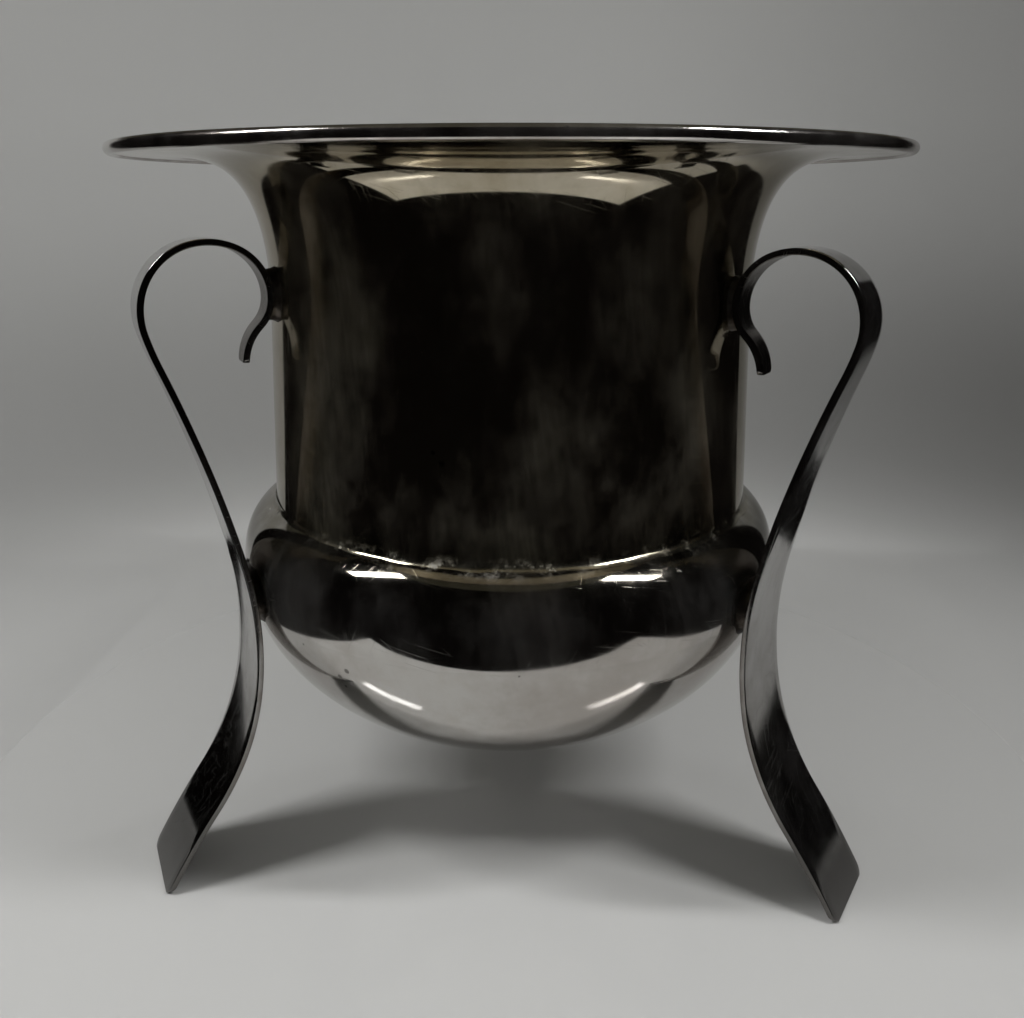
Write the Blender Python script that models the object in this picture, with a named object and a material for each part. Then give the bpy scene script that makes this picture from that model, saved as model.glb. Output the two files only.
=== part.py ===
"""Champagne bucket stand: a flared metal bucket soldered to three strap legs that loop over into handles.

Constants are in millimetres and the scene is in metres, with +Z up. The origin is at ground level in the
middle of the footprint's box, so the bucket's own axis stands AXIS_SETBACK in front of it. The back leg
points along +Y.
"""

import math

import bmesh
import bpy
import numpy as np
from mathutils import Vector

MM = 0.001
SEGMENTS = 64  # facets round every turned piece
GAP = 0.3  # clearance kept between neighbouring pieces
SHEET = 1.0  # thickness of the spun sheet

# Upper body: a slightly tapering sleeve that opens into a wide flare
RIM_RADIUS = 127.5  # to the outside of the rim wire
RIM_HEIGHT = 242.3  # centre of the rim wire
WIRE_RADIUS = 1.6
WIRE_FACETS = 10
SLEEVE_TOP_RADIUS = 80.6  # the taper's own line, carried up to the rim's height
SLEEVE_FOOT_RADIUS = 86.3
SLEEVE_STEPS = 3
FLARE_START = 196.4
FLARE_TOP = 241.0
FLARE_TURN = 4.9  # how late and how sharply the flare turns out to its brim
FLARE_STEPS = 16
LIP_RADIUS = RIM_RADIUS - 2.0 * WIRE_RADIUS - GAP

# Bowl: a shoulder that stands out from the sleeve and a half-ellipse below it
SEAM_HEIGHT = 123.6
BULGE_RADIUS = 98.3
BULGE_HEIGHT = 103.5
BOWL_BOTTOM = 33.2
SHOULDER_STEPS = 6
BOWL_STEPS = 11

# Solder fillet in the corner between sleeve and shoulder
SEAM_RISE = 4.0
SEAM_REACH = 4.2
SEAM_EDGE = 0.35

# Strap legs, built pointing along -Y and turned into place
LEG_TURNS = {"left": -60.0, "right": 60.0, "back": 180.0}  # degrees from -Y, positive towards +X
STRAP_THICKNESS = 2.0
STRAP_CHAMFER = 0.35
STRAP_RUNS = ((0.0, 0.6, 24), (0.6, 0.82, 20), (0.82, 1.0, 26))  # shares of length, stations between them
STRAP_WIDTHS = ((0.0, 31.5), (0.25, 32.5), (0.5, 30.5), (0.8, 15.0), (1.0, 8.5))  # share of length, width
FOOT_CORNER = 3.5
FOOT_LEVEL_LENGTH = 6.0  # over this length the strap's section turns level with the ground
TAIL_CORNER = 1.6
LEG_FOOT_RADIUS = 139.5  # where the strap's middle meets the ground
LEG_FOOT_HEADING = 120.0  # the strap's direction there, in degrees from outwards, positive upwards
LEG_BENDS = (  # length and turn in degrees of each bend of the strap, from foot to tail
    (34.0, 7.0),  # hollow of the foot
    (46.0, -27.0),  # instep
    (46.0, -21.0),  # against the bulge
    (67.0, -9.0),  # rising clear of the bucket
    (10.0, 7.0),  # into the handle
    (46.0, 126.0),  # over the top of the handle
    (20.0, 71.0),  # down against the sleeve
    (9.0, 42.0),  # away from the sleeve
    (13.0, -43.0),  # curled tail
)
BEND_STEP = 0.5  # length between the points worked out along the bends

# Solder between strap and bucket. stretch: shares of the strap's length that face the pad.
# strap_side: -1 where the strap's inner face meets it, 1 where the looped-over outer face does.
LOWER_PAD = {
    "height": 100.5,
    "half_width": 12.5,
    "half_height": 8.5,
    "stretch": (0.22, 0.5),
    "strap_side": -1,
}
UPPER_PAD = {
    "height": 198.8,
    "half_width": 4.8,
    "half_height": 5.4,
    "stretch": (0.87, 0.95),
    "strap_side": 1,
}
PAD_TURNS = 20
PAD_RINGS = 3

AXIS_SETBACK = 6.6  # half of how much further the back foot reaches than the rim


def make_material(name, colour, roughness):
    material = bpy.data.materials.new(name)
    material.use_nodes = True
    shader = material.node_tree.nodes["Principled BSDF"]
    shader.inputs["Base Color"].default_value = (*colour, 1.0)
    shader.inputs["Metallic"].default_value = 1.0
    shader.inputs["Roughness"].default_value = roughness
    return material


def finish_mesh(name, shape, sharp_degrees=35.0):
    """Closes a bmesh into a mesh with its faces outwards, round where it is round."""
    bmesh.ops.remove_doubles(shape, verts=shape.verts, dist=1e-6)
    bmesh.ops.recalc_face_normals(shape, faces=shape.faces)
    mesh = bpy.data.meshes.new(name)
    shape.to_mesh(mesh)
    shape.free()
    mesh.shade_smooth()
    mesh.set_sharp_from_angle(angle=math.radians(sharp_degrees))
    return mesh


def place(name, mesh, material, stand, turn_degrees=0.0):
    """An object of its own mesh, turned about the bucket's axis and parented to the stand."""
    mesh.materials.append(material)
    made = bpy.data.objects.new(name, mesh)
    made.rotation_euler.z = math.radians(turn_degrees)
    made.parent = stand
    bpy.context.scene.collection.objects.link(made)
    return made


def turned(name, section, closed=True):
    """Spins a section of (radius, height) points about the axis. An open section starts and ends on it."""
    shape = bmesh.new()
    corners = [shape.verts.new((0.0, -MM * radius, MM * height)) for radius, height in section]
    edges = [shape.edges.new(pair) for pair in zip(corners, corners[1:])]
    if closed:
        edges.append(shape.edges.new((corners[-1], corners[0])))
    bmesh.ops.spin(
        shape,
        geom=corners + edges,
        cent=(0.0, 0.0, 0.0),
        axis=(0.0, 0.0, 1.0),
        angle=2.0 * math.pi,
        steps=SEGMENTS,
        use_merge=True,
    )
    return finish_mesh(name, shape)


def offset_line(line, distance):
    """The line moved sideways: a positive distance moves it to the right of its direction."""
    line = np.array(line)
    along = np.gradient(line, axis=0)
    along /= np.linalg.norm(along, axis=1)[:, None]
    return line + distance * np.stack([along[:, 1], -along[:, 0]], axis=1)


def sleeve_radius(height):
    """Outside radius of the upper body."""
    share = (RIM_HEIGHT - height) / (RIM_HEIGHT - SEAM_HEIGHT)
    straight = SLEEVE_TOP_RADIUS + (SLEEVE_FOOT_RADIUS - SLEEVE_TOP_RADIUS) * share
    rise = min(max((height - FLARE_START) / (FLARE_TOP - FLARE_START), 0.0), 1.0)
    return straight + (LIP_RADIUS - SLEEVE_TOP_RADIUS) * (1.0 - (1.0 - rise**2) ** (1.0 / FLARE_TURN))


def shoulder_height(radius):
    """Height of the shoulder's outside at a radius between sleeve and bulge."""
    share = (radius - SLEEVE_FOOT_RADIUS) / (BULGE_RADIUS - SLEEVE_FOOT_RADIUS)
    return BULGE_HEIGHT + (SEAM_HEIGHT - BULGE_HEIGHT) * math.sqrt(1.0 - share**2)


def bowl_radius(height):
    """Outside radius of the bowl shell."""
    if height > BULGE_HEIGHT:
        share = (height - BULGE_HEIGHT) / (SEAM_HEIGHT - BULGE_HEIGHT)
        return SLEEVE_FOOT_RADIUS + (BULGE_RADIUS - SLEEVE_FOOT_RADIUS) * math.sqrt(1.0 - share**2)
    share = (BULGE_HEIGHT - height) / (BULGE_HEIGHT - BOWL_BOTTOM)
    return BULGE_RADIUS * math.sqrt(1.0 - share**2)


def upper_body_section():
    outside = []
    for height in np.linspace(SEAM_HEIGHT + GAP, FLARE_START, SLEEVE_STEPS + 1):
        outside.append((sleeve_radius(height), height))
    for angle in np.linspace(0.0, math.pi / 2.0, FLARE_STEPS + 1)[1:]:
        rise = math.sqrt(1.0 - max(math.cos(angle), 0.0) ** FLARE_TURN)
        height = FLARE_START + (FLARE_TOP - FLARE_START) * rise
        outside.append((sleeve_radius(height), height))
    inside = offset_line(outside, -SHEET)
    inside[0] = (outside[0][0] - SHEET, outside[0][1])
    inside[-1] = (outside[-1][0], outside[-1][1] + SHEET)
    return [*outside, *inside[::-1].tolist()]


def rim_wire_section():
    section = []
    for angle in np.linspace(0.0, 2.0 * math.pi, WIRE_FACETS, endpoint=False):
        radius = RIM_RADIUS - WIRE_RADIUS + WIRE_RADIUS * math.cos(angle)
        section.append((radius, RIM_HEIGHT + WIRE_RADIUS * math.sin(angle)))
    return section


def bowl_section():
    outside = [(SLEEVE_FOOT_RADIUS - SHEET, SEAM_HEIGHT)]
    for angle in np.linspace(0.0, math.pi / 2.0, SHOULDER_STEPS + 1):
        radius = SLEEVE_FOOT_RADIUS + (BULGE_RADIUS - SLEEVE_FOOT_RADIUS) * math.sin(angle)
        outside.append((radius, shoulder_height(radius)))
    for angle in np.linspace(0.0, math.pi / 2.0, BOWL_STEPS + 1)[1:]:
        drop = (BULGE_HEIGHT - BOWL_BOTTOM) * math.sin(angle)
        outside.append((BULGE_RADIUS * math.cos(angle), BULGE_HEIGHT - drop))
    outside[-1] = (0.0, BOWL_BOTTOM)
    inside = offset_line(outside, SHEET)
    inside[0] = (SLEEVE_FOOT_RADIUS - SHEET, SEAM_HEIGHT - SHEET)
    inside[1] = (SLEEVE_FOOT_RADIUS, SEAM_HEIGHT - SHEET)
    inside[-1] = (0.0, BOWL_BOTTOM + SHEET)
    return [*outside[::-1], *inside.tolist()]


def seam_ring_section():
    """A hollow-faced corner fillet that stands GAP clear of the sleeve and of the shoulder."""
    start = SLEEVE_FOOT_RADIUS + GAP
    under = []
    for radius in np.linspace(start, start + SEAM_REACH, 4):
        under.append((radius, shoulder_height(radius) + GAP))
    top = (start + SEAM_EDGE, SEAM_HEIGHT + GAP + SEAM_RISE)
    tip = (under[-1][0], under[-1][1] + SEAM_EDGE)
    hollow = []
    for turn in np.linspace(0.0, math.pi / 2.0, 6):
        radius = tip[0] + (top[0] - tip[0]) * math.sin(turn)
        hollow.append((radius, top[1] + (tip[1] - top[1]) * math.cos(turn)))
    return [*under, *hollow, (start, top[1])]


def leg_line():
    """The strap's middle along its bends, as points of radius and height, and its length up to each point."""
    points = [(LEG_FOOT_RADIUS, 0.0)]
    lengths = [0.0]
    heading = math.radians(LEG_FOOT_HEADING)
    for bend_length, turn in LEG_BENDS:
        steps = math.ceil(bend_length / BEND_STEP)
        step = bend_length / steps
        step_turn = math.radians(turn) / steps
        for _ in range(steps):
            chord = heading + step_turn / 2.0
            radius, height = points[-1]
            points.append((radius + step * math.cos(chord), height + step * math.sin(chord)))
            lengths.append(lengths[-1] + step)
            heading += step_turn
    return np.array(points), np.array(lengths)


def corner_loss(distance, corner):
    """How much a rounded corner takes off the half width at this distance from the strap's end."""
    if distance >= corner:
        return 0.0
    return corner - math.sqrt(corner**2 - (corner - distance) ** 2)


def strap_stations():
    """Share of length, middle, sideways vector and half width of the strap at stations from foot to tail."""
    fine, distance = leg_line()
    total = distance[-1]
    shares = [np.linspace(first, last, count, endpoint=False) for first, last, count in STRAP_RUNS]
    along_strap = total * np.concatenate(shares)[1:]
    foot_steps = FOOT_CORNER * np.array([0.0, 0.1, 0.35, 0.65])
    tail_steps = TAIL_CORNER * np.array([0.7, 0.2, 0.0])
    places = np.concatenate([foot_steps, along_strap, total - tail_steps])
    line = np.stack([np.interp(places, distance, fine[:, axis]) for axis in (0, 1)], axis=1)
    along = np.stack([np.gradient(line[:, axis], places) for axis in (0, 1)], axis=1)
    along /= np.linalg.norm(along, axis=1)[:, None]
    across = np.stack([along[:, 1], -along[:, 0]], axis=1)
    level_side = np.array([1.0 / along[0, 1], 0.0])
    known_shares, known_widths = zip(*STRAP_WIDTHS)
    stations = []
    for index, place_on in enumerate(places):
        half = np.interp(place_on / total, known_shares, known_widths) / 2.0
        half -= corner_loss(place_on, FOOT_CORNER) + corner_loss(total - place_on, TAIL_CORNER)
        level = max(0.0, 1.0 - place_on / FOOT_LEVEL_LENGTH)
        side = (1.0 - level) * across[index] + level * level_side
        stations.append((place_on / total, line[index], side, half))
    return stations


def strap_mesh(name):
    """Bridges a chamfered rectangle from station to station along the strap."""
    depth = STRAP_THICKNESS / 2.0
    shape = bmesh.new()
    loops = []
    for _, middle, side, half in strap_stations():
        narrow, thin = half - STRAP_CHAMFER, depth - STRAP_CHAMFER
        corners = (
            (half, -thin),
            (half, thin),
            (narrow, depth),
            (-narrow, depth),
            (-half, thin),
            (-half, -thin),
            (-narrow, -depth),
            (narrow, -depth),
        )
        loop = []
        for across, through in corners:
            radius, height = middle + through * side
            loop.append(shape.verts.new(MM * Vector((across, -radius, height))))
        loops.append(loop)
    for lower, upper in zip(loops, loops[1:]):
        for step in range(len(lower)):
            after = (step + 1) % len(lower)
            shape.faces.new((lower[step], lower[after], upper[after], upper[step]))
    shape.faces.new(loops[0])
    shape.faces.new(loops[-1])
    return finish_mesh(name, shape)


def strap_side_line(pad):
    """Heights and radii of the strap's bucket side along the stretch that faces this pad."""
    first, last = pad["stretch"]
    side_line = []
    for share, middle, side, _ in strap_stations():
        if first <= share <= last:
            side_line.append(middle + pad["strap_side"] * STRAP_THICKNESS / 2.0 * side)
    side_line.sort(key=lambda point: point[1])
    radii, heights = zip(*side_line)
    return heights, radii


def pad_places(pad):
    """Points across a rounded-square outline, from its middle out ring by ring."""
    places = [(0.0, 0.0)]
    for ring in range(1, PAD_RINGS + 1):
        for angle in np.linspace(0.0, 2.0 * math.pi, PAD_TURNS, endpoint=False):
            fullness = (abs(math.cos(angle)) ** 3 + abs(math.sin(angle)) ** 3) ** (-1.0 / 3.0)
            share = fullness * ring / PAD_RINGS
            across = share * math.cos(angle) * pad["half_width"]
            places.append((across, share * math.sin(angle) * pad["half_height"]))
    return places


def pad_mesh(name, pad, wall_radius):
    """Solder that fills the space between a strap's bucket side and the wall behind it."""
    strap_heights, strap_radii = strap_side_line(pad)
    shape = bmesh.new()
    rims = []
    for faces_strap in (True, False):
        sheet = []
        for across, rise in pad_places(pad):
            height = pad["height"] + rise
            if faces_strap:
                depth = np.interp(height, strap_heights, strap_radii) - GAP
            else:
                depth = math.sqrt((wall_radius(height) + GAP) ** 2 - across**2)
            sheet.append(shape.verts.new(MM * Vector((across, -depth, height))))
        rings = [sheet[1 + ring * PAD_TURNS : 1 + (ring + 1) * PAD_TURNS] for ring in range(PAD_RINGS)]
        for step in range(PAD_TURNS):
            after = (step + 1) % PAD_TURNS
            shape.faces.new((sheet[0], rings[0][step], rings[0][after]))
            for inner, outer in zip(rings, rings[1:]):
                shape.faces.new((inner[step], outer[step], outer[after], inner[after]))
        rims.append(rings[-1])
    front, back = rims
    for step in range(PAD_TURNS):
        after = (step + 1) % PAD_TURNS
        shape.faces.new((front[step], front[after], back[after], back[step]))
    return finish_mesh(name, shape)


def main():
    for old in list(bpy.data.objects):
        bpy.data.objects.remove(old)

    stand = bpy.data.objects.new("stand", None)
    stand.location.y = -MM * AXIS_SETBACK
    bpy.context.scene.collection.objects.link(stand)

    sleeve_plate = make_material("sleeve_plate", (0.50, 0.49, 0.45), 0.12)
    wire_plate = make_material("wire_plate", (0.52, 0.50, 0.47), 0.16)
    bowl_plate = make_material("bowl_plate", (0.50, 0.49, 0.46), 0.12)
    seam_solder = make_material("seam_solder", (0.40, 0.38, 0.34), 0.35)
    place("upper_body", turned("upper_body", upper_body_section()), sleeve_plate, stand)
    place("rim_wire", turned("rim_wire", rim_wire_section()), wire_plate, stand)
    place("bowl", turned("bowl", bowl_section(), closed=False), bowl_plate, stand)
    place("seam_ring", turned("seam_ring", seam_ring_section()), seam_solder, stand)

    for side, turn in LEG_TURNS.items():
        strap_plate = make_material(f"strap_plate_{side}", (0.46, 0.45, 0.43), 0.15)
        lower_solder = make_material(f"lower_solder_{side}", (0.36, 0.34, 0.30), 0.4)
        upper_solder = make_material(f"upper_solder_{side}", (0.36, 0.33, 0.28), 0.4)
        lower_pad = pad_mesh(f"lower_solder_{side}", LOWER_PAD, bowl_radius)
        upper_pad = pad_mesh(f"upper_solder_{side}", UPPER_PAD, sleeve_radius)
        place(f"leg_{side}", strap_mesh(f"leg_{side}"), strap_plate, stand, turn)
        place(f"lower_solder_{side}", lower_pad, lower_solder, stand, turn)
        place(f"upper_solder_{side}", upper_pad, upper_solder, stand, turn)


main()
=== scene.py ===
"""Looks of the champagne bucket stand: fine meshes in place of the faceted CAD nodes, tarnished silver plate
on each of them, and a small studio with a pale floor and backdrop.

Section points and sizes are in millimetres unless a comment says metres; the scene is in metres. The main
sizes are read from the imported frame. The others repeat the design's own, apart from those of the shoulder,
the rim, the solder and the handles, which differ a little. The object stands on z = 0, with the bucket's axis
a little in front of the frame's origin.
"""

import math

import bmesh
import bpy
import numpy as np
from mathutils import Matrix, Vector, noise


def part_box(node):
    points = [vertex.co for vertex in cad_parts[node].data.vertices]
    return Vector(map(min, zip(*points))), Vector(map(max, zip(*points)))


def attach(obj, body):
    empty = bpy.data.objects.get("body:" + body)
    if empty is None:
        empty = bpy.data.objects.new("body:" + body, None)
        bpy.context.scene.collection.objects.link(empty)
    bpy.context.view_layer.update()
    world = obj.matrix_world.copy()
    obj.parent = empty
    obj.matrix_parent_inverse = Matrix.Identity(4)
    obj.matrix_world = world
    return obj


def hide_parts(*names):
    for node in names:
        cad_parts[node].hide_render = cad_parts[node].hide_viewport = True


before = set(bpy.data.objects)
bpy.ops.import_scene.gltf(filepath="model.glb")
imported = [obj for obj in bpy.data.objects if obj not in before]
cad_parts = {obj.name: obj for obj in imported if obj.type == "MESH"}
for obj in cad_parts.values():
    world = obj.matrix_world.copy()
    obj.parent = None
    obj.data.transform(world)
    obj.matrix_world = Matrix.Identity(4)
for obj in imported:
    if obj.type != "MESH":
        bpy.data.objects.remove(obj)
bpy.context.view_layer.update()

MM = 0.001
BODY = "root"
MERGE_DISTANCE = 2e-7  # metres

# Sizes read from the frame
RIM_OUTSET = 0.5  # the rim is a little wider and higher than the design's
RIM_LIFT = 0.3
rim_low, rim_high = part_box("rim_wire")
bowl_low, bowl_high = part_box("bowl")
AXIS_Y = (rim_low.y + rim_high.y) / 2.0 / MM
RIM_RADIUS = (rim_high.x - rim_low.x) / 2.0 / MM + RIM_OUTSET
RIM_HEIGHT = (rim_low.z + rim_high.z) / 2.0 / MM + RIM_LIFT
BULGE_RADIUS = (bowl_high.x - bowl_low.x) / 2.0 / MM
BOWL_BOTTOM = bowl_low.z / MM

# Turned pieces
TURN_STEPS = 512
SHEET = 1.0
WIRE_RADIUS = 1.8
WIRE_FACETS = 32
SLEEVE_TOP_RADIUS = 80.6
SLEEVE_FOOT_RADIUS = 86.3
SLEEVE_FOOT = 123.6
SLEEVE_STEPS = 50
FLARE_START = 196.4
FLARE_TOP = 241.3
FLARE_TURN = 4.9  # the higher, the longer the flare stays upright before it turns out
FLARE_STEPS = 90
BRIM_INTO_WIRE = 0.8  # the brim runs on into the wire, so that no gap shows
BULGE_HEIGHT = 103.5
SHOULDER_CENTRE = 52.7
SHOULDER_RISE = 29.0
SHOULDER_FULLNESS = 2.7  # 2 is an ellipse, and more is squarer
SHOULDER_STEPS = 60
BOWL_SHIFT = -0.6  # the bowl was soldered on a little to the left of the sleeve's axis
RIM_LEAN = 0.005  # the upper body leans to the right by this share of its height
BOWL_STEPS = 90
SHOULDER_REACH = BULGE_RADIUS - SHOULDER_CENTRE

# How far hand work leaves the sheet off a true turned shape
WAVINESS = 0.045
OVAL_PHASE = 0.7
LOBE_SHARE = 0.4  # three lobes, against the oval's two
LOBE_TWIST = 60.0  # height over which the lobes' phase grows by a radian
WAVES_ROUND = 3.0
WAVE_HEIGHT = 28.0

# Fillet between sleeve and shoulder
FILLET_RISE = 1.7
FILLET_REACH = 1.9
FILLET_UNEVENNESS = 0.5
FILLET_LUMPS_ROUND = 9.0
FILLET_OVERLAP = 0.02  # how deep its thin edges lie in the sheet
FILLET_SINK = 0.3  # how deep its back lies in the sheet
FILLET_STEPS = 14
SLOPE_REACH = 0.1  # the shoulder's slope is measured this far to either side

# Strap legs
LEG_TURNS = {"left": -60.0, "right": 60.0, "back": 180.0}  # degrees from -Y, positive towards +X
HANDLE_SHIFTS = {"left": 1.1, "right": -1.1, "back": 0.3}  # how much higher or lower each handle was bent
HANDLE_BLEND = (137.0, 238.0)  # lengths along the strap between which that difference grows from nothing
STRAP_THICKNESS = 2.0
STRAP_EDGE = 0.4
SMALLEST_EDGE = 0.05
STRAP_EDGE_STEPS = 5
STRAP_FLAT_STEPS = 10
STRAP_WIDTHS = ((0.0, 31.5), (0.25, 32.5), (0.5, 30.5), (0.8, 15.0), (1.0, 8.5))  # share of length, width
STRAP_STATIONS = 420
STRAP_END_STEPS = 7
STATIONS_LEFT_OUT = 3  # of the evenly spaced ones, at each end, where the ends' own steps stand
STRAP_WAVINESS = 0.05
STRAP_WAVE_WIDTH = 22.0
STRAP_WAVES_ALONG = 16.0
FOOT_CORNER = 3.5
FOOT_LEVEL_LENGTH = 6.0  # over this length the strap's thickness turns level, to stand flat on the ground
TAIL_CORNER = 1.6
LEG_FOOT_RADIUS = 139.5  # where the strap's middle meets the ground
LEG_FOOT_HEADING = 120.0  # the strap's direction there, in degrees from outwards, positive upwards
LEG_BENDS = (  # length and turn in degrees of each bend of the strap, from foot to tail
    (34.0, 7.0),  # hollow of the foot
    (46.0, -27.0),  # instep
    (46.0, -21.0),  # against the bulge
    (67.0, -9.0),  # rising clear of the bucket
    (10.0, 7.0),  # into the handle
    (46.0, 126.0),  # over the top of the handle
    (20.0, 71.0),  # down against the sleeve
    (9.0, 42.0),  # away from the sleeve
    (13.0, -43.0),  # curled tail
)
BEND_STEP = 0.25  # length between the points worked out along the bends

# Solder between strap and bucket. stretch: shares of the strap's length that face the joint.
LOWER_JOINT = {
    "height": 100.5,
    "half_width": 12.5,
    "half_height": 8.5,
    "spread": 2.0,
    "stretch": (0.2, 0.52),
    "strap_side": -1,
}
UPPER_JOINT = {
    "height": 199.0,
    "half_width": 5.4,
    "half_height": 8.0,
    "spread": 0.9,
    "stretch": (0.86, 0.955),
    "strap_side": 1,
}
JOINT_TURNS = 56
JOINT_LEVELS = 14
JOINT_SINK = 0.5
JOINT_LUMPS = 0.08
JOINT_LUMPS_ROUND = 1.3
JOINT_FULLNESS = 2.2  # 2 is an ellipse, and more is squarer
STRAP_SPREAD = 0.25  # how much of the joint's spread there is at the strap

# Camera, placed about the bucket's axis
CAMERA_LENS = 32.51
CAMERA_DISTANCE = 335.8
CAMERA_HEIGHT = 230.7
CAMERA_TURN = 3.46  # degrees from the front towards +X
CAMERA_PITCH = 18.94  # degrees downwards
CAMERA_ROLL = 0.04
CAMERA_SIDESTEP = 0.85
CAMERA_CLIP_START = 0.01  # metres

# Studio, in metres about the bucket's axis
FLOOR_DROP = 0.0002  # how far the floor lies below the feet
SWEEP_FLAT = 0.40
SWEEP_BEND = 0.26
SWEEP_TOP = 1.2
SWEEP_STEPS = 128
SWEEP_BEND_STEPS = 24
SWEEP_SHOWN = 0.42  # above this height the wall is left out of the metal's reflections
SWEEP_PALE = (0.56, 0.56, 0.55)
# Painted shade on the backdrop: its colour, and how strongly and where it darkens the bend and the right
SWEEP_DARK = (0.05, 0.049, 0.046)
BEND_SHADE = 0.5
BEND_SHADE_REACH = (0.28, 0.52)
BEND_SHADE_HEIGHT = (0.30, 0.04)
RIGHT_SHADE = 0.75
RIGHT_SHADE_REACH = 0.55
GLOSSY_REACH = (0.16, 0.30)  # the floor is glossy under the bucket and matt further out
GLOSSY_ROUGHNESS = 0.07
MATT_ROUGHNESS = 0.6
BOARD_FRONT = 0.222  # only this much of the floor shows in the metal: in front of it is a dark room
BOARD_SIDES = (-0.22, 0.25)
ROOM_LIFT = 0.001
ROOM_TURNS = (-122.0, 131.0)  # degrees from the front: where it ends on the left and on the right
ROOM_STEPS = 60
ROOM_GLOW = (0.0035, 0.0030, 0.0028)
CEILING_GLOW = (0.050, 0.048, 0.036)
STRIP_SIZE = (0.28, 0.06)
STRIP_PLACE = (0.43, -0.15, 0.607)
STRIP_POWER = 2.0
KEY_SIZE = (0.6, 0.056)
KEY_PLACE = (0.62, -0.24, 0.88)
KEY_POWER = 6.0
FILL_SIZE = (0.9, 0.9)
FILL_PLACE = (0.0, 0.1, 1.15)
FILL_POWER = 0.2

# Plate. Scales are in features to the metre, and a range is where a pattern's noise fades from none to full.
MOTTLE_SCALE = 130.0
MOTTLE_RANGE = (0.3, 0.6)
MOTTLE_SHARE = 0.35  # how much the mottles break up the patches of tarnish
TARNISH_RANGE = (0.52, 0.86)
FILM_SCALE = 24.0
FILM_UPRIGHT = 0.55  # the film's clouds are stretched upwards
FILM_RANGE = (0.42, 0.72)
WIPES = (78.0, 0.05, 0.0016, 0.50)  # given as the scratches below are
WIPE_SHARE = 0.2
GRAIN_SCALE = 1500.0
SPECK_CELLS = 210.0
SPECK_CLUSTERS = 60.0
SPECK_RANGE = (0.56, 0.72)
SPECK_SIZE = 0.2
SPECK_SHARE = 0.75
SPECK_COLOUR = (0.05, 0.045, 0.04)
SCRATCHES = (  # turn in degrees, length and width in metres, and rarity
    (12.0, 0.03, 0.00022, 0.70),
    (-64.0, 0.02, 0.0002, 0.72),
    (81.0, 0.035, 0.0002, 0.72),
    (37.0, 0.012, 0.0002, 0.72),
)
SCRATCH_SOFTNESS = 0.05
PLATE_BUMP = (0.5, 0.00002)  # strength, and depth in metres
GRAIN_BUMP = 0.06
SPECK_BUMP = 0.4

# What is left in the crease: grime on both sides of it, and crumbs of old polish in it
GRIME_REACH = (0.013, 0.002)  # metres off the crease between which it grows to full
GRIME_SHARE = 0.8
GRIME_MOTTLING = (0.6, 1.0)
GRIME_COLOUR = (0.20, 0.18, 0.13)
RESIDUE_REACH = (0.0035, 0.0003)
RESIDUE_SHARE = 0.8
RESIDUE_COLOUR = (0.30, 0.29, 0.26)
RESIDUE_PATCHES = 17.0
RESIDUE_PATCH_RANGE = (0.36, 0.54)
CRUMB_SCALE = 150.0
CRUMB_RANGE = (0.50, 0.70)

# Painted shade on the straps: near the floor, and on their inner face
FOOT_SHADE_HEIGHTS = (0.045, 0.022)  # metres above the floor between which it grows to full
FOOT_SHADE_SHARE = 0.85
FOOT_SHADE_COLOUR = (0.11, 0.105, 0.10)
INNER_SHADE_MOTTLING = (0.72, 0.95)

# How much each pattern adds to the roughness where it is full
FILM_ROUGHNESS = 0.07
TARNISH_ROUGHNESS = 0.05
GRAIN_ROUGHNESS = 0.03
SCRATCH_ROUGHNESS = 0.25
RESIDUE_ROUGHNESS = 0.5
INNER_FACE_ROUGHNESS = 0.10

# Solder of the joints
SOLDER_WORN = (0.15, 0.13, 0.11)
SOLDER_STAINED = (0.045, 0.035, 0.028)
SOLDER_ROUGHNESS = (0.30, 0.48)
SOLDER_METALLIC = 0.92
SOLDER_BUMP = (0.6, 0.0004)  # strength, and depth in metres
LUMP_SCALE = 320.0
PIT_SCALE = 1400.0
PIT_SHARE = 0.3
STAIN_SCALE = 150.0
STAIN_RANGE = (0.42, 0.62)


def finished(mesh, sharp_degrees):
    """Merges a mesh's coinciding points, turns its faces outwards and links it as an object of its name."""
    shape = bmesh.new()
    shape.from_mesh(mesh)
    bmesh.ops.remove_doubles(shape, verts=shape.verts, dist=MERGE_DISTANCE)
    bmesh.ops.recalc_face_normals(shape, faces=shape.faces)
    shape.to_mesh(mesh)
    shape.free()
    mesh.shade_smooth()
    mesh.set_sharp_from_angle(angle=math.radians(sharp_degrees))
    made = bpy.data.objects.new(mesh.name, mesh)
    bpy.context.scene.collection.objects.link(made)
    return made


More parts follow.
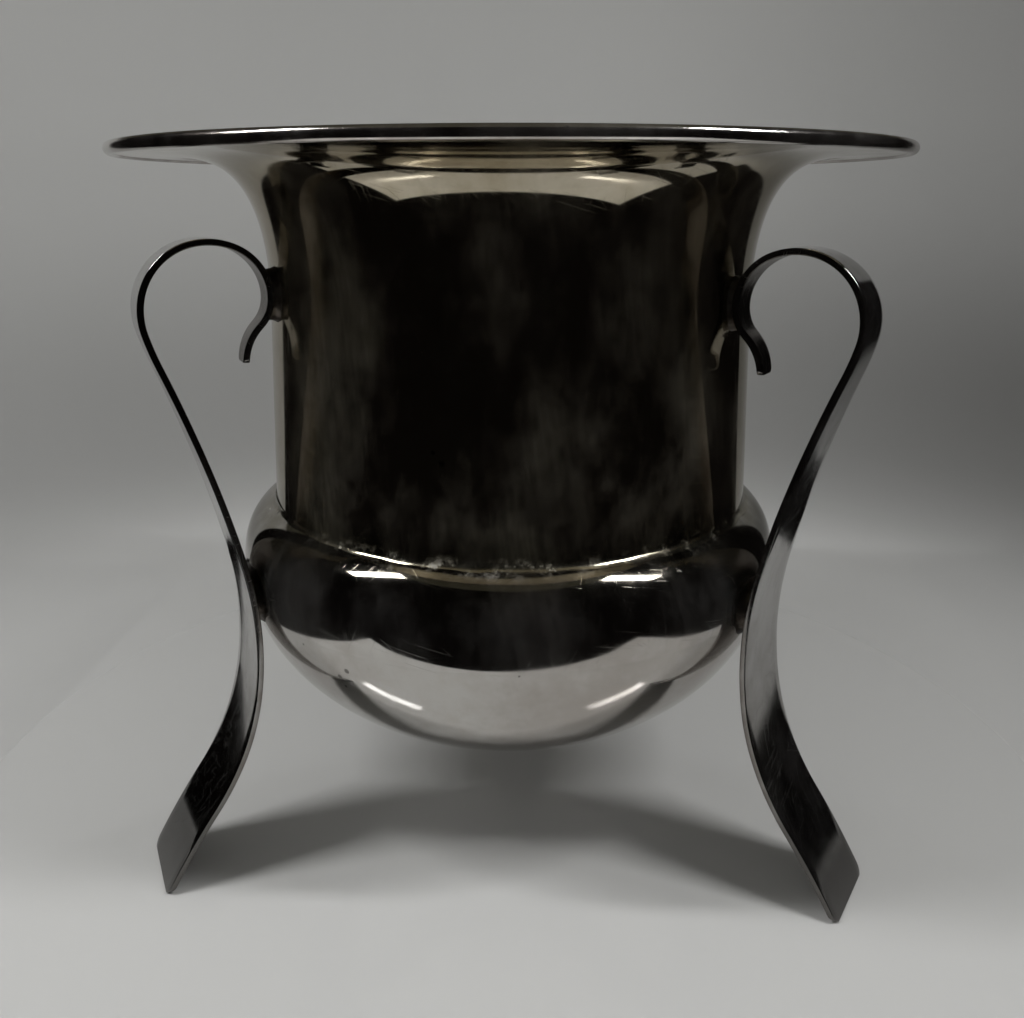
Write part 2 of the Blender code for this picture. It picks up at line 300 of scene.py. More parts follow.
def skinned(name, rings, closed_section=True, closed_round=False, marks=None, sharp_degrees=35.0):
    """An object skinned over rings of points, an array of rings x points x 3.

    Its UV map, skin, holds metres: along the row of rings, and round the section. marks, if given, is one
    number for each point of a section, kept as the attribute mark.
    """
    rings = np.asarray(rings, float)
    if closed_round:
        rings = np.concatenate([rings, rings[:1]])
    if closed_section:
        rings = np.concatenate([rings, rings[:, :1]], axis=1)
    steps_along = np.linalg.norm(np.diff(rings, axis=0), axis=2).max(axis=1)
    steps_round = np.linalg.norm(np.diff(rings, axis=1), axis=2).max(axis=0)
    along = MM * np.concatenate([[0.0], np.cumsum(steps_along)])
    around = MM * np.concatenate([[0.0], np.cumsum(steps_round)])
    grid = np.arange(rings.shape[0] * rings.shape[1]).reshape(rings.shape[:2])
    quads = np.stack([grid[:-1, :-1], grid[1:, :-1], grid[1:, 1:], grid[:-1, 1:]], axis=-1).reshape(-1, 4)
    mesh = bpy.data.meshes.new(name)
    mesh.from_pydata((MM * rings.reshape(-1, 3)).tolist(), [], quads.tolist())
    places = np.stack(np.meshgrid(along, around, indexing="ij"), axis=-1).reshape(-1, 2)
    skin = mesh.uv_layers.new(name="skin")
    skin.data.foreach_set("uv", places[quads.ravel()].astype(np.float32).ravel())
    if marks is not None:
        marks = np.append(marks, marks[:1]) if closed_section else np.asarray(marks)
        mark = mesh.attributes.new("mark", "FLOAT", "POINT")
        mark.data.foreach_set("value", np.tile(marks, len(rings)).astype(np.float32))
    return finished(mesh, sharp_degrees)


def about_axis(points, turn_degrees, shift=0.0):
    """Points given as across, outward and height, turned about the bucket's axis into the frame."""
    points = np.asarray(points, float)
    turn = math.radians(turn_degrees)
    across, outward, height = points[..., 0], points[..., 1], points[..., 2]
    x = across * math.cos(turn) + outward * math.sin(turn) + shift
    y = across * math.sin(turn) - outward * math.cos(turn) + AXIS_Y
    return np.stack([x, y, height], axis=-1)


def planished(angle, height):
    """How far the sheet stands off its true radius here: slightly oval, with small waves."""
    oval = math.sin(2.0 * angle + OVAL_PHASE)
    lobes = LOBE_SHARE * math.sin(3.0 * angle + height / LOBE_TWIST)
    place = Vector((WAVES_ROUND * math.cos(angle), WAVES_ROUND * math.sin(angle), height / WAVE_HEIGHT))
    return WAVINESS * (oval + lobes + noise.noise(place))


def leaning(height):
    """How far the upper body's middle lies to the right at a height."""
    return RIM_LEAN * (height - SLEEVE_FOOT)


def turned(name, section_at, shift_at, closed_section=True):
    """Turns a section about the axis. section_at gives its (radius, height) points at an angle, and shift_at
    how far its middle lies to the right at a height. The waves die out towards the axis."""
    rings = []
    for angle in np.linspace(0.0, 2.0 * math.pi, TURN_STEPS, endpoint=False):
        ring = []
        for radius, height in section_at(angle):
            off = planished(angle, height) * min(radius / BULGE_RADIUS, 1.0)
            ring.append((0.0, radius + off, height))
        shifts = np.array([shift_at(height) for across, radius, height in ring])
        rings.append(about_axis(ring, math.degrees(angle), shifts))
    return skinned(name, rings, closed_section, closed_round=True)


def capped(rings):
    """The rings with each end gathered into its middle, which closes the skin."""
    ends = [[np.mean(ring, axis=0).tolist()] * len(ring) for ring in (rings[0], rings[-1])]
    return [ends[0], *rings, ends[1]]


def offset_line(line, distance):
    """The line moved sideways: a positive distance moves it to the right of its direction."""
    line = np.array(line)
    along = np.gradient(line, axis=0)
    along /= np.linalg.norm(along, axis=1)[:, None]
    return line + distance * np.stack([along[:, 1], -along[:, 0]], axis=1)


def sleeve_radius(height):
    """Outside radius of the upper body."""
    share = (RIM_HEIGHT - height) / (RIM_HEIGHT - SLEEVE_FOOT)
    straight = SLEEVE_TOP_RADIUS + (SLEEVE_FOOT_RADIUS - SLEEVE_TOP_RADIUS) * share
    rise = min(max((height - FLARE_START) / (FLARE_TOP - FLARE_START), 0.0), 1.0)
    lip_radius = RIM_RADIUS - 2.0 * WIRE_RADIUS + BRIM_INTO_WIRE
    return straight + (lip_radius - SLEEVE_TOP_RADIUS) * (1.0 - (1.0 - rise**2) ** (1.0 / FLARE_TURN))


def superellipse(share):
    """The other coordinate of a unit superellipse."""
    return max(1.0 - share**SHOULDER_FULLNESS, 0.0) ** (1.0 / SHOULDER_FULLNESS)


def shoulder_height(radius):
    """Height of the shoulder's outside at a radius between sleeve and bulge."""
    return BULGE_HEIGHT + SHOULDER_RISE * superellipse((radius - SHOULDER_CENTRE) / SHOULDER_REACH)


def bowl_radius(height):
    """Outside radius of the bowl shell."""
    if height > BULGE_HEIGHT:
        return SHOULDER_CENTRE + SHOULDER_REACH * superellipse((height - BULGE_HEIGHT) / SHOULDER_RISE)
    share = (BULGE_HEIGHT - height) / (BULGE_HEIGHT - BOWL_BOTTOM)
    return BULGE_RADIUS * math.sqrt(1.0 - share**2)


def upper_body():
    outside = [(sleeve_radius(h), h) for h in np.linspace(SLEEVE_FOOT, FLARE_START, SLEEVE_STEPS)]
    for angle in np.linspace(0.0, math.pi / 2.0, FLARE_STEPS)[1:]:
        rise = math.sqrt(1.0 - max(math.cos(angle), 0.0) ** FLARE_TURN)
        height = FLARE_START + (FLARE_TOP - FLARE_START) * rise
        outside.append((sleeve_radius(height), height))
    inside = offset_line(outside, -SHEET)
    inside[0] = (outside[0][0] - SHEET, outside[0][1])
    inside[-1] = (outside[-1][0], outside[-1][1] + SHEET)
    section = [*outside, *inside[::-1].tolist()]
    return turned("spun_upper_body", lambda angle: section, leaning)


def rim_wire():
    section = []
    for angle in np.linspace(0.0, 2.0 * math.pi, WIRE_FACETS, endpoint=False):
        radius = RIM_RADIUS - WIRE_RADIUS + WIRE_RADIUS * math.cos(angle)
        section.append((radius, RIM_HEIGHT + WIRE_RADIUS * math.sin(angle)))
    return turned("rolled_rim_wire", lambda angle: section, leaning)


def bowl():
    top = shoulder_height(SLEEVE_FOOT_RADIUS)
    outside = [(SLEEVE_FOOT_RADIUS - SHEET, top)]
    start = math.asin(((SLEEVE_FOOT_RADIUS - SHOULDER_CENTRE) / SHOULDER_REACH) ** (SHOULDER_FULLNESS / 2.0))
    for angle in np.linspace(start, math.pi / 2.0, SHOULDER_STEPS):
        radius = SHOULDER_CENTRE + SHOULDER_REACH * math.sin(angle) ** (2.0 / SHOULDER_FULLNESS)
        outside.append((radius, shoulder_height(radius)))
    for angle in np.linspace(0.0, math.pi / 2.0, BOWL_STEPS)[1:]:
        drop = (BULGE_HEIGHT - BOWL_BOTTOM) * math.sin(angle)
        outside.append((BULGE_RADIUS * math.cos(angle), BULGE_HEIGHT - drop))
    outside[-1] = (0.0, BOWL_BOTTOM)
    inside = offset_line(outside, SHEET)
    inside[0] = (SLEEVE_FOOT_RADIUS - SHEET, top - SHEET)
    inside[1] = (SLEEVE_FOOT_RADIUS, top - SHEET)
    inside[-1] = (0.0, BOWL_BOTTOM + SHEET)
    section = [*outside[::-1], *inside.tolist()]
    return turned("spun_bowl", lambda angle: section, lambda height: BOWL_SHIFT, closed_section=False)


def seam_fillet():
    """A hollow fillet of solder from the sleeve's wall to the shoulder's slope."""

    def section_at(angle):
        place = FILLET_LUMPS_ROUND * Vector((math.cos(angle), math.sin(angle), 0.0))
        uneven = FILLET_UNEVENNESS * noise.noise(place)
        tip_radius = SLEEVE_FOOT_RADIUS + FILLET_REACH + uneven
        tip = Vector((tip_radius, shoulder_height(tip_radius) - FILLET_OVERLAP))
        outer, inner = (shoulder_height(tip_radius + reach) for reach in (SLOPE_REACH, -SLOPE_REACH))
        slope = (outer - inner) / (2.0 * SLOPE_REACH)
        top_height = shoulder_height(SLEEVE_FOOT_RADIUS) + FILLET_RISE + uneven
        top = Vector((sleeve_radius(top_height) - FILLET_OVERLAP, top_height))
        corner = Vector((top.x, tip.y - slope * (tip.x - top.x)))
        hollow = []
        for share in np.linspace(0.0, 1.0, FILLET_STEPS):
            hollow.append(tip.lerp(corner, share).lerp(corner.lerp(top, share), share))
        back = SLEEVE_FOOT_RADIUS - FILLET_SINK
        base = tip.y - 2.0 * FILLET_SINK
        return [*hollow, (back, top.y), (back, base), (tip.x, base)]

    return turned("seam_fillet", section_at, lambda height: BOWL_SHIFT / 2.0)


def leg_line():
    """The strap's middle along its bends, as points of radius and height, and its length up to each point."""
    points = [(LEG_FOOT_RADIUS, 0.0)]
    lengths = [0.0]
    heading = math.radians(LEG_FOOT_HEADING)
    for bend_length, turn in LEG_BENDS:
        steps = math.ceil(bend_length / BEND_STEP)
        step = bend_length / steps
        step_turn = math.radians(turn) / steps
        for _ in range(steps):
            chord = heading + step_turn / 2.0
            radius, height = points[-1]
            points.append((radius + step * math.cos(chord), height + step * math.sin(chord)))
            lengths.append(lengths[-1] + step)
            heading += step_turn
    return np.array(points), np.array(lengths)


def corner_loss(distance, corner):
    """How much a rounded corner takes off the half width at this distance from the strap's end."""
    short = min(max(corner - distance, 0.0), corner)
    return corner - math.sqrt(corner**2 - short**2)


def strap_line(shift):
    """The leg line with its handle bent higher by the shift, and its length up to each point."""
    line, lengths = leg_line()
    first, last = HANDLE_BLEND
    share = np.clip((lengths - first) / (last - first), 0.0, 1.0)
    line[:, 1] += shift * share**2 * (3.0 - 2.0 * share)
    return line, lengths


def strap_stations(shift):
    """Share of length, middle, sideways vector, half width, half depth and edge radius, foot to tail."""
    fine, distance = strap_line(shift)
    total = distance[-1]
    easing = 1.0 - np.cos(np.linspace(0.0, math.pi / 2.0, STRAP_END_STEPS))
    ends = np.concatenate([easing * STRAP_EDGE, easing * FOOT_CORNER, easing * TAIL_CORNER])
    regular = np.linspace(0.0, total, STRAP_STATIONS)[STATIONS_LEFT_OUT:-STATIONS_LEFT_OUT]
    places = np.unique(np.concatenate([ends, regular, total - ends]).round(4))
    slope = np.gradient(fine, distance, axis=0)
    known_shares, known_widths = zip(*STRAP_WIDTHS)
    stations = []
    for place in places:
        middle = np.array([np.interp(place, distance, fine[:, axis]) for axis in (0, 1)])
        along = np.array([np.interp(place, distance, slope[:, axis]) for axis in (0, 1)])
        along /= np.linalg.norm(along)
        level = max(0.0, 1.0 - place / FOOT_LEVEL_LENGTH)
        across = np.array([along[1], -along[0]])
        side = (1.0 - level) * across + level * np.array([1.0 / along[1], 0.0])
        inset = corner_loss(place, STRAP_EDGE) + corner_loss(total - place, STRAP_EDGE)
        half = np.interp(place / total, known_shares, known_widths) / 2.0 - inset
        half -= corner_loss(place, FOOT_CORNER) + corner_loss(total - place, TAIL_CORNER)
        edge = max(STRAP_EDGE - inset, SMALLEST_EDGE)
        stations.append((place / total, middle, side, half, STRAP_THICKNESS / 2.0 - inset, edge))
    return stations


def strap_section(half, depth, edge):
    """A rounded rectangle: across and through at points all round."""
    section = []
    corners = ((1, 1, 0.0), (-1, 1, 90.0), (-1, -1, 180.0), (1, -1, 270.0))
    for index, (side, face, start) in enumerate(corners):
        for angle in np.radians(np.linspace(start, start + 90.0, STRAP_EDGE_STEPS)):
            across = side * (half - edge) + edge * math.cos(angle)
            section.append((across, face * (depth - edge) + edge * math.sin(angle)))
        if index % 2 == 0:
            for share in np.linspace(1.0, -1.0, STRAP_FLAT_STEPS + 1)[1:-1]:
                section.append((side * share * (half - edge), face * depth))
    return section


def strap(side):
    """A strap leg. Its mark is 1 on its inner face, towards the bucket, which gets painted shade and more
    roughness.
    """
    turn = LEG_TURNS[side]
    rings = []
    for share, middle, outward, half, depth, edge in strap_stations(HANDLE_SHIFTS[side]):
        ring = []
        for across, through in strap_section(half, depth, edge):
            place = Vector((across / STRAP_WAVE_WIDTH, share * STRAP_WAVES_ALONG, turn))
            through += STRAP_WAVINESS * noise.noise(place)
            radius, height = middle + through * outward
            ring.append((across, radius, height))
        rings.append(ring)
    section = strap_section(STRAP_THICKNESS, STRAP_THICKNESS / 2.0, STRAP_EDGE)
    marks = [0.5 - through / STRAP_THICKNESS for across, through in section]
    return skinned(f"strap_leg_{side}", about_axis(capped(rings), turn), marks=marks)


def facing_line(joint, shift):
    """Heights and radii of the strap's bucket side along the stretch that faces this joint."""
    first, last = joint["stretch"]
    line = []
    for share, middle, side, *_ in strap_stations(shift):
        if first <= share <= last:
            line.append(middle + joint["strap_side"] * STRAP_THICKNESS / 2.0 * side)
    line.sort(key=lambda point: point[1])
    radii, heights = zip(*line)
    return heights, radii


def solder_joint(name, joint, wall_radius, side):
    """Solder between strap and wall, drawn out into a lumpy foot where it wets the wall."""
    on_handle = joint["strap_side"] > 0
    height = joint["height"] + (HANDLE_SHIFTS[side] if on_handle else 0.0)
    strap_heights, strap_radii = facing_line(joint, HANDLE_SHIFTS[side])
    rings = []
    for level in np.linspace(0.0, 1.0, JOINT_LEVELS):
        spread = joint["spread"] * ((1.0 - level) ** 3 + STRAP_SPREAD * level**4)
        ring = []
        for angle in np.linspace(0.0, 2.0 * math.pi, JOINT_TURNS, endpoint=False):
            roundness = abs(math.cos(angle)) ** JOINT_FULLNESS + abs(math.sin(angle)) ** JOINT_FULLNESS
            fullness = roundness ** (-1.0 / JOINT_FULLNESS)
            round_x, round_y = JOINT_LUMPS_ROUND * math.cos(angle), JOINT_LUMPS_ROUND * math.sin(angle)
            lump = Vector((round_x, round_y, level + LEG_TURNS[side]))
            fullness *= 1.0 + JOINT_LUMPS * noise.noise(lump)
            across = fullness * math.cos(angle) * (joint["half_width"] + spread)
            rise = height + fullness * math.sin(angle) * (joint["half_height"] + spread)
            wall = math.sqrt(wall_radius(rise) ** 2 - across**2) - JOINT_SINK
            strap_face = np.interp(rise, strap_heights, strap_radii) + JOINT_SINK
            ring.append((across, wall + (strap_face - wall) * level, rise))
        rings.append(ring)
    return skinned(name, about_axis(capped(rings), LEG_TURNS[side]), sharp_degrees=75.0)


def node(tree, kind, sockets=None, **settings):
    """Adds a shader node. sockets: a value or a link for each input. settings: the node's own properties."""
    made = tree.nodes.new(kind)
    for name, value in settings.items():
        setattr(made, name, value)
    for name, value in (sockets or {}).items():
        if isinstance(value, bpy.types.NodeSocket):
            tree.links.new(value, made.inputs[name])
        else:
            made.inputs[name].default_value = value
    return made


def cloudy(tree, place, scale, detail=4.0, roughness=0.55):
    sockets = {"Vector": place, "Scale": scale, "Detail": detail, "Roughness": roughness}
    return node(tree, "ShaderNodeTexNoise", sockets).outputs["Fac"]


def fade(tree, value, start, end, low=0.0, high=1.0):
    """A smooth step from low at start to high at end."""
    sockets = {"Value": value, "From Min": start, "From Max": end, "To Min": low, "To Max": high}
    return node(tree, "ShaderNodeMapRange", sockets, interpolation_type="SMOOTHSTEP").outputs["Result"]


def maths(tree, operation, first, second=0.0):
    return node(tree, "ShaderNodeMath", {0: first, 1: second}, operation=operation).outputs["Value"]


def times(tree, first, second):
    return maths(tree, "MULTIPLY", first, second)


def plus(tree, first, second):
    return maths(tree, "ADD", first, second)


def minus(tree, first, second):
    return maths(tree, "SUBTRACT", first, second)


def mixed(tree, share, first, second):
    """Colour between first and second. On a mix node, colours go into sockets 6 and 7 and come out of 2."""
    made = node(tree, "ShaderNodeMix", {0: share}, data_type="RGBA")
    for index, value in ((6, first), (7, second)):
        if isinstance(value, bpy.types.NodeSocket):
            tree.links.new(value, made.inputs[index])
        else:
            made.inputs[index].default_value = (*value, 1.0)
    return made.outputs[2]


def height_above_floor(tree, place):
    return node(tree, "ShaderNodeSeparateXYZ", {0: place}).outputs["Z"]


def hairlines(tree, skin, turn_degrees, length, width, rarity):
    """Fine straight scratches, all lying one way on the skin. length and width are in metres."""
    sockets = {"Vector": skin, "Rotation": (0.0, 0.0, math.radians(turn_degrees))}
    laid = node(tree, "ShaderNodeMapping", sockets).outputs["Vector"]
    sockets = {"Vector": laid, "Scale": (1.0 / length, 1.0 / width, 1.0)}
    drawn = node(tree, "ShaderNodeMapping", sockets).outputs["Vector"]
    return fade(tree, cloudy(tree, drawn, 1.0, detail=1.0), rarity, rarity + SCRATCH_SOFTNESS)


def tarnish_pattern(tree, place, mottles, patch_scale):
    """Broad patches of tarnish, broken up by mottles."""
    patches = cloudy(tree, place, patch_scale, detail=5.0, roughness=0.6)
    return fade(tree, plus(tree, patches, times(tree, mottles, MOTTLE_SHARE)), *TARNISH_RANGE)


def film_pattern(tree, place, skin):
    """Clouds of hazy film, drawn upwards and slightly streaked by a cloth."""
    upright = node(tree, "ShaderNodeMapping", {"Vector": place, "Scale": (1.0, 1.0, FILM_UPRIGHT)})
    clouds = cloudy(tree, upright.outputs["Vector"], FILM_SCALE, detail=8.0, roughness=0.68)
    film = fade(tree, clouds, *FILM_RANGE)
    streaks = times(tree, hairlines(tree, skin, *WIPES), WIPE_SHARE)
    return times(tree, film, plus(tree, streaks, 1.0 - WIPE_SHARE))


def speck_pattern(tree, place):
    """Small round specks in clusters."""
    cells = node(tree, "ShaderNodeTexVoronoi", {"Vector": place, "Scale": SPECK_CELLS, "Randomness": 1.0})
    clusters = cloudy(tree, place, SPECK_CLUSTERS, detail=2.0)
    sizes = fade(tree, clusters, *SPECK_RANGE, 0.0, SPECK_SIZE)
    return maths(tree, "LESS_THAN", cells.outputs["Distance"], sizes)


def scratch_pattern(tree, skin):
    """Hairlines lying several ways."""
    first, *others = SCRATCHES
    scratches = hairlines(tree, skin, *first)
    for scratch in others:
        scratches = maths(tree, "MAXIMUM", scratches, hairlines(tree, skin, *scratch))
    return scratches


def leave_residue(tree, finish, place, mottles):
    """Adds grime beside the crease and pale crumbs of polish in it to the finish."""
    seam = MM * shoulder_height(SLEEVE_FOOT_RADIUS)
    off_seam = maths(tree, "ABSOLUTE", minus(tree, height_above_floor(tree, place), seam))
    beside = fade(tree, off_seam, *GRIME_REACH, 0.0, GRIME_SHARE)
    grime = times(tree, beside, fade(tree, mottles, *MOTTLE_RANGE, *GRIME_MOTTLING))
    patches = fade(tree, cloudy(tree, place, RESIDUE_PATCHES, detail=1.0), *RESIDUE_PATCH_RANGE)
    crumbs = fade(tree, cloudy(tree, place, CRUMB_SCALE, detail=8.0, roughness=0.72), *CRUMB_RANGE)
    inside = times(tree, fade(tree, off_seam, *RESIDUE_REACH), patches)
    residue = times(tree, times(tree, inside, crumbs), RESIDUE_SHARE)
    finish["colour"] = mixed(tree, grime, finish["colour"], GRIME_COLOUR)
    finish["colour"] = mixed(tree, residue, finish["colour"], RESIDUE_COLOUR)
    finish["metallic"] = times(tree, finish["metallic"], minus(tree, 1.0, residue))
    finish["roughness"] = plus(tree, finish["roughness"], times(tree, residue, RESIDUE_ROUGHNESS))


def paint_strap_shade(tree, finish, place, mottles, colour):
    """Darkens the strap with painted shade on its inner face, which is marked and also made rougher, and near
    its foot.
    """
    marked = node(tree, "ShaderNodeAttribute", attribute_name="mark").outputs["Fac"]
    # Painted shade on the inner face, broken up by mottles
    inner_shade = times(tree, marked, fade(tree, mottles, *MOTTLE_RANGE, *INNER_SHADE_MOTTLING))
    # Painted shade: the strap darker near the floor
    foot_shade = fade(tree, height_above_floor(tree, place), *FOOT_SHADE_HEIGHTS, 0.0, FOOT_SHADE_SHARE)
    finish["colour"] = mixed(tree, inner_shade, finish["colour"], colour)
    finish["colour"] = mixed(tree, foot_shade, finish["colour"], FOOT_SHADE_COLOUR)
    finish["roughness"] = plus(tree, finish["roughness"], times(tree, marked, INNER_FACE_ROUGHNESS))


def connect_finish(tree, finish, relief, bump_size):
    """Links a finish and its relief to the material's shader."""
    shader = tree.nodes["Principled BSDF"]
    strength, depth = bump_size
    bump = node(tree, "ShaderNodeBump", {"Strength": strength, "Distance": depth, "Height": relief})
    tree.links.new(finish["colour"], shader.inputs["Base Color"])
    tree.links.new(finish["roughness"], shader.inputs["Roughness"])
    if "metallic" in finish:
        tree.links.new(finish["metallic"], shader.inputs["Metallic"])
    tree.links.new(bump.outputs["Normal"], shader.inputs["Normal"])


def plate_material(name, look):
    """Old silver plate: mirror polish under patchy tarnish, hazy film, dark specks and hairline scratches."""
    material = bpy.data.materials.new(name)
    material.use_nodes = True
    tree = material.node_tree
    place = node(tree, "ShaderNodeTexCoord").outputs["Object"]
    skin = node(tree, "ShaderNodeUVMap", uv_map="skin").outputs["UV"]

    mottles = cloudy(tree, place, MOTTLE_SCALE, detail=5.0, roughness=0.65)
    grain = cloudy(tree, place, GRAIN_SCALE, detail=2.0)
    tarnish = tarnish_pattern(tree, place, mottles, look["patch_scale"])
    film = film_pattern(tree, place, skin)
    specks = speck_pattern(tree, place)
    scratches = times(tree, scratch_pattern(tree, skin), look["scratches"])

    colour = mixed(tree, tarnish, look["clean"], look["dull"])
    finish = {
        "colour": mixed(tree, times(tree, specks, SPECK_SHARE), colour, SPECK_COLOUR),
        "metallic": minus(tree, 1.0, times(tree, film, look["film"])),
        "roughness": plus(tree, look["roughness"], times(tree, film, FILM_ROUGHNESS)),
    }
    roughening = ((tarnish, TARNISH_ROUGHNESS), (grain, GRAIN_ROUGHNESS), (scratches, SCRATCH_ROUGHNESS))
    for pattern, added in roughening:
        finish["roughness"] = plus(tree, finish["roughness"], times(tree, pattern, added))
    if look.get("residue"):
        leave_residue(tree, finish, place, mottles)
    # Painted shade on the straps: on their inner face and near the floor
    if look.get("inner_shade"):
        paint_strap_shade(tree, finish, place, mottles, look["inner_shade"])

    relief = minus(tree, times(tree, grain, GRAIN_BUMP), scratches)
    relief = minus(tree, relief, times(tree, specks, SPECK_BUMP))
    connect_finish(tree, finish, relief, PLATE_BUMP)
    return material


def solder_material(name):
    """Dull brown solder: lumpy, pitted and matt, with worn bright spots."""
    material = bpy.data.materials.new(name)
    material.use_nodes = True
    tree = material.node_tree
    place = node(tree, "ShaderNodeTexCoord").outputs["Object"]
    lumps = cloudy(tree, place, LUMP_SCALE, detail=5.0, roughness=0.6)
    pits = cloudy(tree, place, PIT_SCALE, detail=3.0, roughness=0.6)
    stains = fade(tree, cloudy(tree, place, STAIN_SCALE), *STAIN_RANGE)
    finish = {
        "colour": mixed(tree, stains, SOLDER_WORN, SOLDER_STAINED),
        "roughness": fade(tree, stains, 0.0, 1.0, *SOLDER_ROUGHNESS),
    }
    tree.nodes["Principled BSDF"].inputs["Metallic"].default_value = SOLDER_METALLIC
    relief = plus(tree, lumps, times(tree, pits, PIT_SHARE))
    connect_finish(tree, finish, relief, SOLDER_BUMP)
    return material


PLATE_LOOKS = {
    "sleeve_plate": {
        "clean": (0.54, 0.49, 0.39),
        "dull": (0.36, 0.31, 0.22),
        "patch_scale": 9.0,
        "film": 0.12,
        "roughness": 0.02,
        "scratches": 0.3,
        "residue": True,
    },
    "wire_plate": {
        "clean": (0.66, 0.63, 0.60),
        "dull": (0.36, 0.31, 0.28),
        "patch_scale": 20.0,
        "film": 0.06,
        "roughness": 0.10,
        "scratches": 0.25,
    },
    "bowl_plate": {
        "clean": (0.55, 0.535, 0.51),
        "dull": (0.42, 0.39, 0.36),
        "patch_scale": 12.0,
        "film": 0.06,
        "roughness": 0.02,
        "scratches": 0.35,
        "residue": True,
    },
    "strap_plate": {
        "clean": (0.43, 0.42, 0.41),
        "dull": (0.29, 0.275, 0.26),
        "patch_scale": 16.0,
        "film": 0.06,
        "roughness": 0.04,
        "scratches": 0.5,
        # colour of the painted shade on the inner face
        "inner_shade": (0.13, 0.11, 0.095),
    },
    "seam_solder": {
        "clean": (0.58, 0.56, 0.48),
        "dull": (0.36, 0.33, 0.26),
        "patch_scale": 24.0,
        "film": 0.12,
        "roughness": 0.08,
        "scratches": 0.3,
        "residue": True,
    },
}


def fitted(piece, material, slot_name, *nodes):
    """Gives the piece its finish and lets it stand for its CAD nodes."""
    piece.data.materials.append(material)
    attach(piece, BODY)
    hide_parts(*nodes)


def build_object():
    plates = {name: plate_material(name + "_look", look) for name, look in PLATE_LOOKS.items()}
    solder = solder_material("joint_solder_look")
    fitted(upper_body(), plates["sleeve_plate"], "sleeve_plate", "upper_body")
    fitted(rim_wire(), plates["wire_plate"], "wire_plate", "rim_wire")
    fitted(bowl(), plates["bowl_plate"], "bowl_plate", "bowl")
    fitted(seam_fillet(), plates["seam_solder"], "seam_solder", "seam_ring")
    for side in LEG_TURNS:
        nearer = BOWL_SHIFT * math.sin(math.radians(LEG_TURNS[side]))
        lower = solder_joint(f"lower_joint_{side}", LOWER_JOINT, lambda h: bowl_radius(h) + nearer, side)
        upper = solder_joint(f"upper_joint_{side}", UPPER_JOINT, sleeve_radius, side)
        fitted(strap(side), plates["strap_plate"], "strap_plate", f"leg_{side}")
        fitted(lower, solder, "joint_solder", f"lower_solder_{side}")
        fitted(upper, solder, "joint_solder", f"upper_solder_{side}")


def stage_mesh(name, points, faces):
    """A mesh of the studio, with its points in metres about the bucket's axis."""
    mesh = bpy.data.meshes.new(name)
    mesh.from_pydata([(x, y + MM * AXIS_Y, z) for x, y, z in points], [], faces)
    mesh.shade_smooth()
    made = bpy.data.objects.new(name, mesh)
    bpy.context.scene.collection.objects.link(made)
    return made


def sweep_section(lift):
    """The backdrop's bend and wall, or a line that runs above and inside them by the lift."""
    bend = SWEEP_BEND - lift
    section = []
    for angle in np.linspace(0.0, math.pi / 2.0, SWEEP_BEND_STEPS):
        section.append((SWEEP_FLAT + bend * math.sin(angle), SWEEP_BEND - bend * math.cos(angle)))
    section.append((SWEEP_FLAT + bend, SWEEP_SHOWN))
    section.append((SWEEP_FLAT + bend, SWEEP_TOP))
    return section


def round_wall(name, section, material):
    """A stage piece turned about the bucket's axis."""
    points = []
    for angle in np.linspace(0.0, 2.0 * math.pi, SWEEP_STEPS, endpoint=False):
        for radius, height in section:
            points.append((radius * math.sin(angle), -radius * math.cos(angle), height - FLOOR_DROP))
    rows = len(section)
    faces = []
    for step in range(SWEEP_STEPS):
        after = (step + 1) % SWEEP_STEPS
        for row in range(rows - 1):
            here, there = step * rows + row, after * rows + row
            faces.append((here, there, there + 1, here + 1))
    made = stage_mesh(name, points, faces)
    made.data.materials.append(material)
    return made


def card_material():
    """Pale card with painted shade: darker in its bend and towards the right."""
    material = bpy.data.materials.new("pale_card")
    material.use_nodes = True
    tree = material.node_tree
    shader = tree.nodes["Principled BSDF"]
    place = node(tree, "ShaderNodeTexCoord").outputs["Object"]
    parts = node(tree, "ShaderNodeSeparateXYZ", {0: place})
    reach = node(tree, "ShaderNodeVectorMath", {0: place}, operation="LENGTH").outputs["Value"]
    low = fade(tree, parts.outputs["Z"], *BEND_SHADE_HEIGHT)
    in_bend = times(tree, fade(tree, reach, *BEND_SHADE_REACH), low)
    rightwards = fade(tree, parts.outputs["X"], 0.0, RIGHT_SHADE_REACH, 0.0, RIGHT_SHADE)
    shaded = plus(tree, times(tree, in_bend, BEND_SHADE), times(tree, rightwards, reach))
    colour = mixed(tree, shaded, SWEEP_PALE, SWEEP_DARK)
    rough = fade(tree, reach, *GLOSSY_REACH, GLOSSY_ROUGHNESS, MATT_ROUGHNESS)
    tree.links.new(colour, shader.inputs["Base Color"])
    tree.links.new(rough, shader.inputs["Roughness"])
    return material


def backdrop():
    """A pale floor that sweeps up into a wall all round."""
    card = card_material()
    section = [(0.0, 0.0), (SWEEP_FLAT / 2.0, 0.0), *sweep_section(0.0)]
    round_wall("backdrop", section[:-1], card)
    top = round_wall("backdrop_top", section[-2:], card)
    top.visible_glossy = False
    top.visible_shadow = False


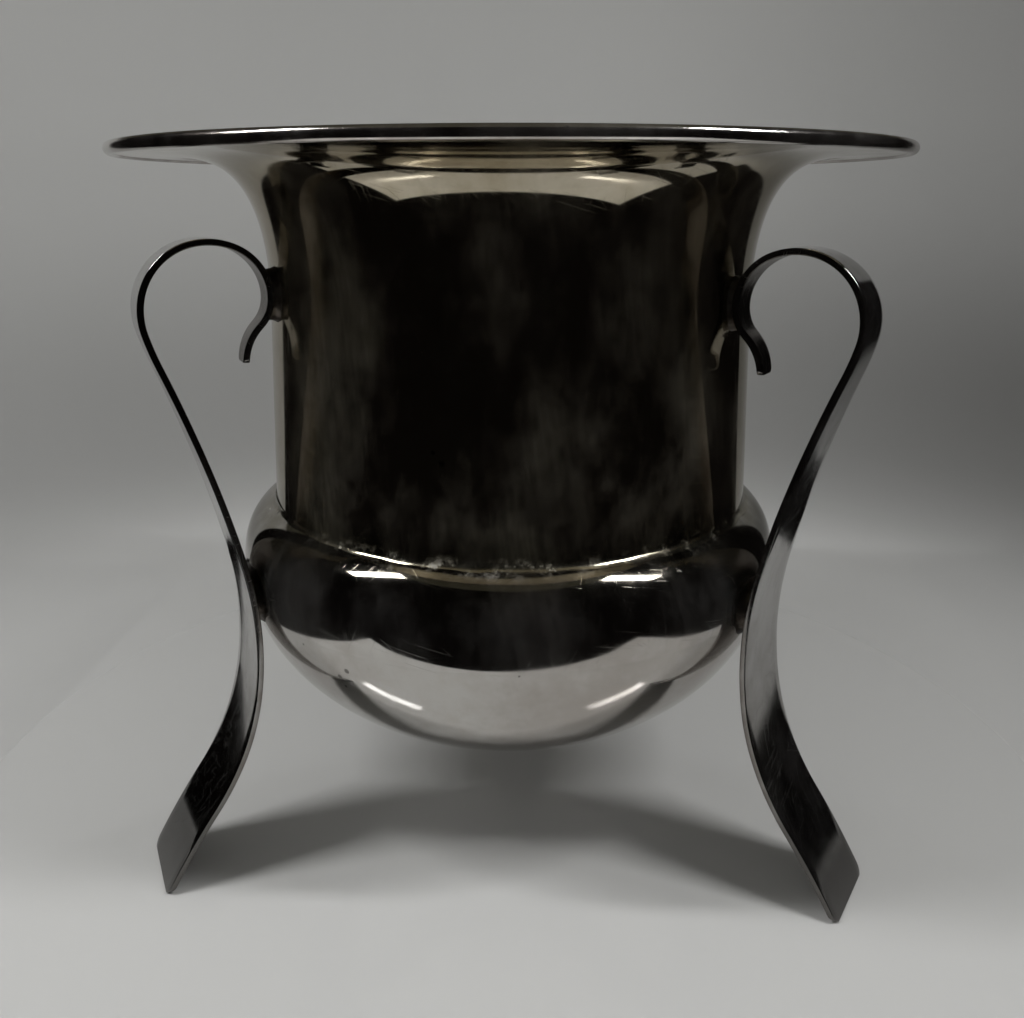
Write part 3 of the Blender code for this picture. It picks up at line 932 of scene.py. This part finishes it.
def dark_room():
    """The unlit room round the front and the sides of the white board. It shows only in reflections."""
    section = sweep_section(ROOM_LIFT)
    rows = len(section) + 1
    turns = np.radians(np.linspace(*ROOM_TURNS, ROOM_STEPS + 1))
    points = []
    for turn in turns:
        x, y = SWEEP_FLAT * math.sin(turn), -SWEEP_FLAT * math.cos(turn)
        board_x = min(max(x, BOARD_SIDES[0]), BOARD_SIDES[1])
        points.append((board_x, max(y, -BOARD_FRONT), ROOM_LIFT))
        for radius, height in section:
            points.append((radius * math.sin(turn), -radius * math.cos(turn), height))
    faces = []
    for step in range(ROOM_STEPS):
        for row in range(rows - 1):
            here = step * rows + row
            faces.append((here, here + rows, here + rows + 1, here + 1))
    made = stage_mesh("dark_room", points, faces)
    made.visible_camera = False
    made.visible_diffuse = False
    made.visible_shadow = False
    made.visible_transmission = False
    material = bpy.data.materials.new("dark_room")
    material.use_nodes = True
    tree = material.node_tree
    tree.nodes.remove(tree.nodes["Principled BSDF"])
    glow = node(tree, "ShaderNodeEmission", {"Color": (*ROOM_GLOW, 1.0), "Strength": 1.0})
    tree.links.new(glow.outputs["Emission"], tree.nodes["Material Output"].inputs["Surface"])
    made.data.materials.append(material)


def area_light(name, place, size, power):
    """A white light that faces straight down, with its place in metres about the bucket's axis."""
    light = bpy.data.lights.new(name, "AREA")
    light.shape = "RECTANGLE"
    light.size, light.size_y = size
    light.energy = power
    made = bpy.data.objects.new(name, light)
    x, y, z = place
    made.location = (x, y + MM * AXIS_Y, z)
    made.visible_camera = False
    bpy.context.scene.collection.objects.link(made)
    return made


def build_studio():
    backdrop()
    dark_room()
    for side, sign in (("left", -1.0), ("right", 1.0)):
        x, y, z = STRIP_PLACE
        strip = area_light("strip_" + side, (sign * x, y, z), STRIP_SIZE, STRIP_POWER)
        strip.visible_diffuse = False
        x, y, z = KEY_PLACE
        key = area_light("key_" + side, (sign * x, y, z), KEY_SIZE, KEY_POWER)
        key.visible_glossy = False
    fill = area_light("overhead_fill", FILL_PLACE, FILL_SIZE, FILL_POWER)
    fill.visible_glossy = False
    world = bpy.data.worlds.new("dark_world")
    world.use_nodes = True
    world.node_tree.nodes["Background"].inputs["Color"].default_value = (*CEILING_GLOW, 1.0)
    bpy.context.scene.world = world


def build_camera():
    turn = math.radians(CAMERA_TURN)
    x = CAMERA_DISTANCE * math.sin(turn) + CAMERA_SIDESTEP * math.cos(turn)
    y = -CAMERA_DISTANCE * math.cos(turn) + CAMERA_SIDESTEP * math.sin(turn) + AXIS_Y
    camera_data = bpy.data.cameras.new("camera")
    camera_data.sensor_fit = "HORIZONTAL"
    camera_data.lens = CAMERA_LENS
    camera_data.clip_start = CAMERA_CLIP_START
    camera = bpy.data.objects.new("camera", camera_data)
    camera.location = MM * Vector((x, y, CAMERA_HEIGHT))
    camera.rotation_euler = (math.radians(90.0 - CAMERA_PITCH), math.radians(CAMERA_ROLL), turn)
    bpy.context.scene.collection.objects.link(camera)
    bpy.context.scene.camera = camera


build_object()
build_studio()
build_camera()
bpy.context.scene.view_settings.view_transform = "Standard"
